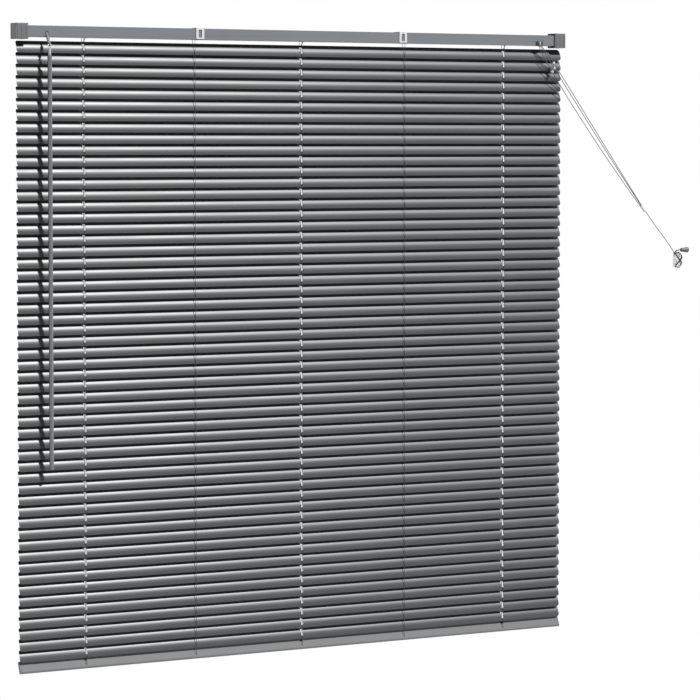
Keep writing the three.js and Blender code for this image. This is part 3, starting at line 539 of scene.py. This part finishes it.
# %% [markdown]
# ## The slats
# A slat is a strip 25 mm wide, cambered like the back of a leaf so that it stays straight between its
# ladders. Its corners are rounded, and a slot lets each lift cord through. The grid's columns lie along the
# slat and its rows across it. Near an end the rows draw in to follow the corner's arc, and beside a slot
# two of the rows bend round the slot's outline, so that leaving out the quads between them opens the slot
# exactly.

# %% Slat shape
SLAT_LENGTH, SLAT_WIDTH, SLAT_THICKNESS = 1190, 25, 0.21
SLAT_CAMBER = 2.4
SLAT_CORNER = 5
SLOT_WIDTH, SLOT_LENGTH = 5, 14
LADDERS = np.array([-460, -230, 0, 230, 460])
CORDED = LADDERS[::2]
CROSS_STEPS = np.array([-1, -0.8, -0.6, -0.4, -0.19, 0, 0.19, 0.4, 0.6, 0.8, 1])  # shares of the half width
SLOT_ROWS = (2, 8)  # the two rows that bend round a slot
CORNER_STEPS = 6
SLOT_STEPS = 8
SPREAD = 7  # beside a slot, the rows are straight again from this far on


def slat_columns():
    """Places along the slat: close together at the corners and the slots, where the outline bends."""
    corner = SLAT_CORNER * (1 - np.cos(np.linspace(0, np.pi / 2, CORNER_STEPS)))
    across = SLOT_WIDTH / 2 * -np.cos(np.linspace(0, np.pi, SLOT_STEPS + 1))
    beside = np.concatenate([[-SPREAD], across, [SPREAD]])
    columns = [corner - SLAT_LENGTH / 2, SLAT_LENGTH / 2 - corner, LADDERS[1::2]]
    return np.unique(np.round(np.concatenate([*columns, *(x + beside for x in CORDED)]), 6))


def slat_grid(x):
    """The place across the slat of each row at each column."""
    half = SLAT_WIDTH / 2
    inset = np.clip(SLAT_CORNER - (SLAT_LENGTH / 2 - np.abs(x)), 0, SLAT_CORNER)
    edge = half - SLAT_CORNER + np.sqrt(SLAT_CORNER**2 - inset**2)
    v = CROSS_STEPS[:, None] * edge[None, :]
    nearest = np.abs(x[:, None] - CORDED).min(axis=1)
    radius = SLOT_WIDTH / 2
    arc = (SLOT_LENGTH - SLOT_WIDTH) / 2 + np.sqrt(np.clip(radius**2 - nearest**2, 0, None))
    beside = nearest < SPREAD - 0.01
    for row, side in zip(SLOT_ROWS, (-1, 1)):
        v[row, beside] = side * arc[beside]
    low, high = SLOT_ROWS
    inner = CROSS_STEPS[low + 1 : high] / CROSS_STEPS[high - 1] * 0.6
    v[low + 1 : high, beside] = inner[:, None] * arc[beside]
    outer = np.linspace(1, 0, low + 1)[1:-1, None]
    v[1:low, beside] = -(arc[beside] + outer * (half - arc[beside]))
    v[high + 1 : -1, beside] = arc[beside] + outer[::-1] * (half - arc[beside])
    return v


def slat_shape():
    """(points, faces) of a flat-lying slat: both skins, the rim round them, and the rims of the slots."""
    x = slat_columns()
    v = slat_grid(x)
    rows, columns = v.shape
    crown = SLAT_CAMBER * (1 - (2 * v / SLAT_WIDTH) ** 2)
    along = np.broadcast_to(x, v.shape)
    skins = [np.stack([along, v, crown + side * SLAT_THICKNESS / 2], axis=-1) for side in (1, -1)]
    quads = grid_faces(rows, columns, ring=False).reshape(rows - 1, columns - 1, 4)
    middle = (x[1:] + x[:-1]) / 2
    open_columns = (np.abs(middle[:, None] - CORDED) < SLOT_WIDTH / 2).any(axis=1)
    keep = np.ones((rows - 1, columns - 1), bool)
    keep[SLOT_ROWS[0] : SLOT_ROWS[1], open_columns] = False
    top = quads[keep]
    sides = np.stack([top, np.roll(top, -1, axis=1)], axis=-1).reshape(-1, 2)
    key = np.sort(sides, axis=1) @ (rows * columns, 1)
    _, first, count = np.unique(key, return_index=True, return_counts=True)
    rim = sides[first[count == 1]]
    offset = rows * columns
    wall = np.stack([rim[:, 0], rim[:, 1], rim[:, 1] + offset, rim[:, 0] + offset], axis=1)
    return np.concatenate(skins).reshape(-1, 3), np.concatenate([top, top[:, ::-1] + offset, wall])


slat_points, slat_faces = slat_shape()
used = np.unique(slat_faces)
slat_points, slat_faces = slat_points[used], np.searchsorted(used, slat_faces)
print("one slat:", len(slat_points), "points,", len(slat_faces), "faces")

# %% [markdown]
# ## Hanging the slats
# The blind is closed, with every slat turned 65 degrees about its own middle line, one pitch below the
# last. The frame holds one slat of each bank of eight as a moving body. The other seven ride on that body
# too. Each of them ought to turn about its own middle line and not the body's, but here each only gets its
# own copy of its mesh.
#
# Fully raised, the slats of all the banks lie interleaved, 3 mm apart. The last slats of banks 5 and 6
# would meet the bottom rail there, so they hang from the next bank. That takes them above the first slat
# instead, where they reach into the brackets' undersides.

# %% Slats on their bodies
SLAT_TILT = math.radians(65)
SLAT_PLANE = -15
SLAT_PITCH = 21.5
FIRST_DROP = 40
BANK_SIZE, BANK_COUNT, STATION = 8, 7, 4
ON_NEXT_BANK = (40, 48)
LAST_SLAT = BANK_SIZE * BANK_COUNT - 1


def tilted(points):
    """Points turned about X by the slats' tilt."""
    points = np.asarray(points, float)
    c, s = math.cos(SLAT_TILT), math.sin(SLAT_TILT)
    return points @ np.array([[1, 0, 0], [0, c, s], [0, -s, c]])


def slat_middle(position):
    """The middle of a slat, or of the bottom rail, which takes the position after the last slat."""
    return np.array([0, SLAT_PLANE, -(FIRST_DROP + SLAT_PITCH * (position - 1))])


def bank_of(position):
    """The bank that a slat hangs from."""
    return (position - 1) // BANK_SIZE + 1 + (position in ON_NEXT_BANK)


def steps_from_station(position):
    """How many slats below its bank's moving body a slat lies."""
    return position - BANK_SIZE * (bank_of(position) - 1) - STATION


def shift_with_tilt(piece):
    """Gives a piece its own copy of its mesh, and moves nothing."""
    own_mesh(piece)


def turn_in_place(piece, position):
    """Gives a piece that lies off its bank's station its own copy of its mesh."""
    steps = steps_from_station(position)
    if steps:
        shift_with_tilt(piece)


slat_rest = tilted(slat_points)
for position in range(1, LAST_SLAT + 1):
    shape = (slat_rest + slat_middle(position), slat_faces)
    slat = make_piece(f"slat_{position:02d}", shape, f"slat_{bank_of(position)}", "slat_paint")
    if steps_from_station(position) == 0:
        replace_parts(slat, f"slat_bank_{bank_of(position)}")
    turn_in_place(slat, position)

# %% [markdown]
# ## The ladders
# A ladder is two upright strings, one in front of the slats and one behind, tied together under every slat
# by a thin rung that the slat rests on. Where a lift cord comes up through the slots, the rung steps aside.
# A rung turns with its slat. The strings only shorten when the blind is raised, as their slack gathers
# between the slats. Their ends at the bottom rail are pieces of their own, and the back ones begin inside
# the string above them.

# %% Rungs and strings
STRING_RADIUS, RUNG_RADIUS = 0.5, 0.36
RUNG_UNDER = 0.805  # below the slat's chord
RUNG_STEP = 1.9
RUNG_POINTS = 9
STRING_OFFSET = 6.19
STRING_TOP = -17.6
RAIL_MIDDLE = slat_middle(LAST_SLAT + 1)
FRONT_FOOT, BACK_FOOT = 13, 11.6  # where the strings end, above the rail's middle
FRONT_END_FOOT = 3.5  # and where a front string's own end piece does, below it
STRING_FEET = {"front": RAIL_MIDDLE[2] + FRONT_FOOT, "back": RAIL_MIDDLE[2] + BACK_FOOT}
DROP_POINTS = 57  # along a string or cord that shortens


def rung_path(x):
    """A rung's line under a slat that lies flat at the origin, from the front string to the back one."""
    c, s = math.cos(SLAT_TILT), math.sin(SLAT_TILT)
    ends = [(y - RUNG_UNDER * s) / c for y in (-STRING_OFFSET, STRING_OFFSET)]
    share = np.linspace(0, 1, RUNG_POINTS)
    aside = RUNG_STEP * np.clip(np.sin(np.pi * share) * 1.6, 0, 1) if x in CORDED else share * 0
    along = ends[0] + share * (ends[1] - ends[0])
    return np.stack([x - aside, along, np.full(RUNG_POINTS, -RUNG_UNDER)], axis=-1)


rungs = joined([tube(rung_path(x), RUNG_RADIUS, 6) for x in LADDERS])
for position in range(1, LAST_SLAT + 1):
    shape = (tilted(rungs[0]) + slat_middle(position), *rungs[1:])
    rung = make_piece(f"rungs_{position:02d}", shape, f"slat_{bank_of(position)}", "ladder_string")
    turn_in_place(rung, position)


def string_end(name, x, y, top, foot):
    """The end of a string at the bottom rail. It rises and sinks with the rail, but doesn't turn with it."""
    path = [(x, y, z) for z in np.linspace(top, foot, 3)]
    shape = tube(path, STRING_RADIUS - 0.02, 8)
    return make_piece(name, shape, f"bank_{BANK_COUNT}", "ladder_string")


low, high = RAIL_MIDDLE[2] - FRONT_END_FOOT, RAIL_MIDDLE[2] + BACK_FOOT
for k, x in enumerate(LADDERS, 1):
    end = string_end(f"ladder_{k}_front_end", x, SLAT_PLANE - STRING_OFFSET, STRING_FEET["front"], low)
    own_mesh(end)
    end = string_end(f"ladder_{k}_back_end", x, SLAT_PLANE + STRING_OFFSET, 2 * high - low, high + 0.1)
    shift_with_tilt(end)

for side, y in (("front", SLAT_PLANE - STRING_OFFSET), ("back", SLAT_PLANE + STRING_OFFSET)):
    foot = STRING_FEET[side]
    for k, x in enumerate(LADDERS, 1):
        path = [(x, y, z) for z in np.linspace(STRING_TOP, foot, DROP_POINTS)]
        shape = tube(path, STRING_RADIUS, 8)
        string = make_piece(f"ladder_{k}_{side}", shape, "frame", "ladder_string")
        if side == "front":
            banks = [f"ladder_3_bank_{b}" for b in range(1, BANK_COUNT + 1)]
            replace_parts(string, *(banks if x == 0 else [f"ladder_{k}"]))
        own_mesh(string)

ROD_DROP = 11
GROOVE_RADIUS = 8.95
WRAP_START = 0.12  # radians past the string
WRAP_POINTS = 25
first_angle = math.asin(STRING_OFFSET / GROOVE_RADIUS) + WRAP_START
arc = np.linspace(first_angle, 2 * math.pi - first_angle, WRAP_POINTS)
for k, x in enumerate(LADDERS, 1):
    depth, level = SLAT_PLANE - GROOVE_RADIUS * np.sin(arc), -ROD_DROP - GROOVE_RADIUS * np.cos(arc)
    path = np.stack([np.full(WRAP_POINTS, x), depth, level], axis=-1)
    make_piece(f"ladder_{k}_over_drum", tube(path, STRING_RADIUS, 8), "frame", "ladder_string")

# %% [markdown]
# ## The lift cords
# A lift cord starts at the bottom rail, climbs through the slots of every slat, and bends over the edge of
# its cradle into the headrail, where it runs along the front wall to the cord lock. Its drop shortens as
# the blind rises, and the part in the headrail stays, so they are two pieces.

# %% Lift cords
CORD_LEVELS = (-18.2, -16.4, -14.6)
CORD_JOG = -31
CORD_SIDE_STEP = 5.9
CORD_RUN = -25.75
HEADRAIL_FLOOR = -21
LOCK_ENTRY = 529.7
CORD_BEND = 1.9
RAIL_TOP = 3.5  # from the bottom rail's middle to its upper face, square to that face
FOOT_GAP = 0.3
CORD_FOOT = RAIL_MIDDLE[2] + RAIL_TOP / math.cos(SLAT_TILT) + CORD_RADIUS * math.tan(SLAT_TILT) + FOOT_GAP

for k, (x, level) in enumerate(zip(CORDED, CORD_LEVELS), 1):
    path = [(x, SLAT_PLANE, z) for z in np.linspace(CORD_JOG, CORD_FOOT, DROP_POINTS)]
    drop = make_piece(f"lift_cord_{k}_drop", tube(path, CORD_RADIUS), "frame", "cord_fibre")
    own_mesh(drop)
    entry = x + CORD_SIDE_STEP
    route = [(x, SLAT_PLANE, CORD_JOG), (entry, SLAT_PLANE, HEADRAIL_FLOOR), (entry, SLAT_PLANE, level),
             (entry, CORD_RUN, level), (LOCK_ENTRY, CORD_RUN, level)]
    shape = tube(softened(route, CORD_BEND, 6), CORD_RADIUS)
    run = make_piece(f"lift_cord_{k}_run", shape, "frame", "cord_fibre")
    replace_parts(run, f"lift_cord_{k}")

# %% [markdown]
# ## Small parts
# The tilter's stem ends in a thick grey sheath with a round lug, through which the wand's hook passes. A
# dark pin crosses the wand near its top. The cord lock looks out of the headrail through a dark bezel, and
# the cords leave it over a pale lip. Two screws hold the cleat's base. Sizes and places along the stem and
# the wand are taken from the eye, where the stem's lug and the wand's clip meet.

# %% Stem, pin, lock front and screws
STEM_SLOPE = math.radians(35)
STEM_AXIS = np.array([0, -math.sin(STEM_SLOPE), -math.cos(STEM_SLOPE)])
WAND_X, WAND_Y = -537, -42
WORM_TO_ROD = 7.4
WORM_MIDDLE = np.array([WAND_X, SLAT_PLANE - WORM_TO_ROD * math.cos(STEM_SLOPE),
                        -ROD_DROP + WORM_TO_ROD * math.sin(STEM_SLOPE)])
EYE = WORM_MIDDLE + STEM_AXIS * (WAND_Y - WORM_MIDDLE[1]) / STEM_AXIS[1]
SHEATH_LENGTH, SHEATH_TO_EYE = 14.6, 2.9
LUG_HALF, LUG_HOLE, LUG_RADIUS = 0.9, 1.6, 3.2
h = SHEATH_LENGTH
profile = [(1.7, 0), (2.7, 0), (3.1, 1.6), (3.2, h - 1.4), (2.6, h), (1.7, h)]
start = EYE - STEM_AXIS * (SHEATH_LENGTH + SHEATH_TO_EYE)
shape = turned(softened(profile, 0.5, loop=True), start, STEM_AXIS, loop=True)
make_piece("stem_sheath", shape, "worm", "stem_plastic")
profile = [(LUG_HOLE, -LUG_HALF), (LUG_RADIUS, -LUG_HALF), (LUG_RADIUS, LUG_HALF), (LUG_HOLE, LUG_HALF)]
shape = turned(softened(profile, 0.35, loop=True), EYE, (1, 0, 0), loop=True)
make_piece("stem_lug", shape, "worm", "stem_plastic")

ROD_BELOW_EYE = 20.1
PIN_BELOW_ROD_TOP = 17
CLIP_HALF, CLIP_NECK, NECK_BELOW_EYE = 3.7, 0.75, 7.4  # the clip's half width at the eye and at its neck
CLIP_INTO_COLLAR = 0.4  # above the rod's top, where the clip's wires end
CLIP_RADIUS = 0.6
COLLAR_HOLE, COLLAR_RADIUS, COLLAR_BELOW_EYE, COLLAR_GAP = 1.5, 2.7, 6.8, 0.2
PIN_RADIUS, PIN_HALF = 0.9, 3.6
rod_top = EYE[2] - ROD_BELOW_EYE
collar_top = EYE[2] - COLLAR_BELOW_EYE
wire_end = CLIP_INTO_COLLAR - ROD_BELOW_EYE
wire = [(CLIP_NECK, wire_end), (CLIP_NECK, -NECK_BELOW_EYE), (CLIP_HALF, 0),
        (-CLIP_HALF, 0), (-CLIP_NECK, -NECK_BELOW_EYE), (-CLIP_NECK, wire_end)]
wire = softened([(WAND_X + x, WAND_Y, EYE[2] + z) for x, z in wire], 1.2, 6)
clip = make_piece("wand_clip", tube(wire, CLIP_RADIUS), "wand", "steel")
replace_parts(clip, "wand_hook")
profile = [(COLLAR_HOLE, rod_top + COLLAR_GAP), (COLLAR_RADIUS, rod_top + COLLAR_GAP),
           (COLLAR_RADIUS, collar_top), (COLLAR_HOLE, collar_top)]
shape = turned(softened(profile, 0.4, loop=True), (WAND_X, WAND_Y, 0), (0, 0, 1), loop=True)
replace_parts(make_piece("wand_collar", shape, "wand", "clear_plastic"), "wand_sleeve")
profile = softened([(0, -PIN_HALF), (PIN_RADIUS, -PIN_HALF), (PIN_RADIUS, PIN_HALF), (0, PIN_HALF)], 0.2)
shape = turned(profile, (WAND_X, WAND_Y, rod_top - PIN_BELOW_ROD_TOP), (0, 1, 0), 16)
make_piece("wand_pin", shape, "wand", "dark_plastic")


def plate_ring(outer, hole, middle, depths):
    """(points, faces) of a plate with a hole. Each outline is a half width, a top and a bottom."""
    back, front = depths
    loops = []
    for (half, top, bottom), y in ((outer, back), (outer, front), (hole, front), (hole, back)):
        outline = ((-1, bottom), (1, bottom), (1, top), (-1, top))
        loops.append([(middle + side * half, y, z) for side, z in outline])
    return np.reshape(loops, (-1, 3)), grid_faces(4, 4, loop=True)


HEADRAIL_FRONT = -27.5
LOCK_X = 539
BEZEL_OUTER, BEZEL_HOLE = (8.6, -12.9, -22.6), (6.15, -13.2, -20.2)
BEZEL_BACK, BEZEL_FRONT = HEADRAIL_FRONT - 0.1, HEADRAIL_FRONT - 0.7
LIP_RADIUS = 2.3
LIP_LINE = ((-2.4, -14.6), (-3.2, -15.6), (-3.3, -19), (-2.4, -20.4))  # out from the headrail, and height
SCREW_PROFILE = [(0, 0), (2.9, 0), (2.4, 0.9), (0.9, 1.1), (0.7, 0.6), (0, 0.6)]
CLEAT_BASE = 3  # thickness
SCREW_RISE = 11.2  # above and below the cleat's middle
ring = plate_ring(BEZEL_OUTER, BEZEL_HOLE, LOCK_X, (BEZEL_BACK, BEZEL_FRONT))
make_piece("lock_bezel", ring, "frame", "dark_plastic")
lip = [(LOCK_X, HEADRAIL_FRONT + reach, z) for reach, z in LIP_LINE]
make_piece("lock_lip", tube(softened(lip, 1.5), LIP_RADIUS, 16), "frame", "lip_plastic")
screw = softened(SCREW_PROFILE, 0.2)
for k, rise in enumerate((SCREW_RISE, -SCREW_RISE), 1):
    place = CLEAT + (0, -CLEAT_BASE, rise)
    make_piece(f"cleat_screw_{k}", turned(screw, place, (0, -1, 0), 20), "frame", "steel")

# %% [markdown]
# ## The frame's own parts
# The pressed and moulded parts already have their right shape. Each keeps its mesh and gets a finish, and a
# weld and a small bevel round its edges, so that they catch the light as real edges do.

# %% Finishes and bevels on the frame's parts
KEPT = {
    "headrail_paint": ["headrail"],
    "bracket_paint": ["box_bracket_left", "box_bracket_right", "bracket_cover_left", "bracket_cover_right"],
    "rail_paint": ["bottom_rail"],
    "grey_plastic": ["bottom_rail_cap_left", "bottom_rail_cap_right", "tilter_housing"],
    "white_plastic": ["centre_bracket_left", "centre_bracket_right", "worm_wheel"]
    + [f"ladder_{part}_{k}" for part in ("drum", "cradle") for k in range(1, 6)],
    "dark_plastic": ["cord_lock_body"],
    "steel": ["tilt_rod", "cord_lock_roller"],
    "stem_plastic": ["tilt_worm"],
    "cleat_plastic": ["cord_cleat"],
    "wand_plastic": ["wand_rod"],
}
BEVELS = {"headrail_paint": 0.3, "bracket_paint": 0.35, "rail_paint": 0.2, "grey_plastic": 0.3,
          "white_plastic": 0.25, "dark_plastic": 0.4, "steel": 0.15, "stem_plastic": 0.15,
          "cleat_plastic": 0.4, "wand_plastic": 0.4}
for name, nodes in KEPT.items():
    for node in nodes:
        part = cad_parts[node]
        part.material_slots[0].link = "OBJECT"
        part.material_slots[0].material = MATERIALS[name]
        weld = part.modifiers.new("weld", "WELD")
        weld.merge_threshold = WELD
        bevel = part.modifiers.new("bevel", "BEVEL")
        bevel.width = BEVELS[name] * MM
        bevel.segments = 2
        bevel.limit_method = "ANGLE"
        bevel.angle_limit = SHARP_EDGE
print("frame parts finished:", sum(map(len, KEPT.values())))

# %% [markdown]
# ## Light, floor and background
# One lamp stands far off to the right of the viewer and well above, so that its light falls at nearly the
# same angle on every slat. It gives the upper part of each slat its bright line, and the wand a soft
# shadow. The background is white to the camera, in reflections and through clear plastic, and adds little
# light of its own.

# %% Light
FLOOR_DROP = -1.9
FLOOR_COLOUR = (0.96, 0.96, 0.96, 1)
FLOOR_GLOW = 0.2  # lifts the floor to the background's white
FLOOR_FRONT, FLOOR_BACK, FLOOR_SIDE = -2.5, 2.6, 3
BLIND_MIDDLE = np.array([0, 0, -0.62])
WORLD_LIGHT = 0.06  # the background's strength for all other rays


def lamp(name, azimuth, elevation, distance, size, watts):
    """A square area lamp, in metres and degrees, that faces the blind's middle. Azimuth 0 is in front."""
    data = bpy.data.lights.new(name, "AREA")
    data.size = size
    data.energy = watts
    made = bpy.data.objects.new(name, data)
    a, e = math.radians(azimuth), math.radians(elevation)
    back = np.array([math.sin(a) * math.cos(e), -math.cos(a) * math.cos(e), math.sin(e)])
    made.location = BLIND_MIDDLE + back * distance
    made.rotation_euler = (math.radians(90) - e, 0, a)
    bpy.context.scene.collection.objects.link(made)


lamp("key", 25, 47, 60.0, 3.0, 44000)

world = bpy.data.worlds.new("studio")
bpy.context.scene.world = world
world.use_nodes = True
tree = world.node_tree
background = tree.nodes["Background"]
rays = tree.nodes.new("ShaderNodeLightPath")
seen = calc(tree, "MAXIMUM", rays.outputs["Is Camera Ray"], rays.outputs["Is Glossy Ray"])
seen = calc(tree, "MAXIMUM", seen, rays.outputs["Is Transmission Ray"])
strength = add_node(tree, "MapRange", i0=seen, i3=WORLD_LIGHT, i4=1.0)
tree.links.new(strength.outputs[0], background.inputs["Strength"])
background.inputs["Color"].default_value = (1, 1, 1, 1)

corners = [(-FLOOR_SIDE, FLOOR_FRONT, FLOOR_DROP), (FLOOR_SIDE, FLOOR_FRONT, FLOOR_DROP),
           (FLOOR_SIDE, FLOOR_BACK, FLOOR_DROP), (-FLOOR_SIDE, FLOOR_BACK, FLOOR_DROP)]
floor_mesh = bpy.data.meshes.new("floor")
floor_mesh.from_pydata(corners, [], [(0, 1, 2, 3)])
floor_material = bpy.data.materials.new("floor")
floor_material.use_nodes = True
floor_inputs = floor_material.node_tree.nodes["Principled BSDF"].inputs
floor_inputs["Base Color"].default_value = FLOOR_COLOUR
floor_inputs["Roughness"].default_value = 0.9
floor_inputs["Emission Color"].default_value = (1, 1, 1, 1)
floor_inputs["Emission Strength"].default_value = FLOOR_GLOW
floor_mesh.materials.append(floor_material)
floor = bpy.data.objects.new("floor", floor_mesh)
bpy.context.scene.collection.objects.link(floor)

bpy.context.scene.view_settings.view_transform = "Standard"
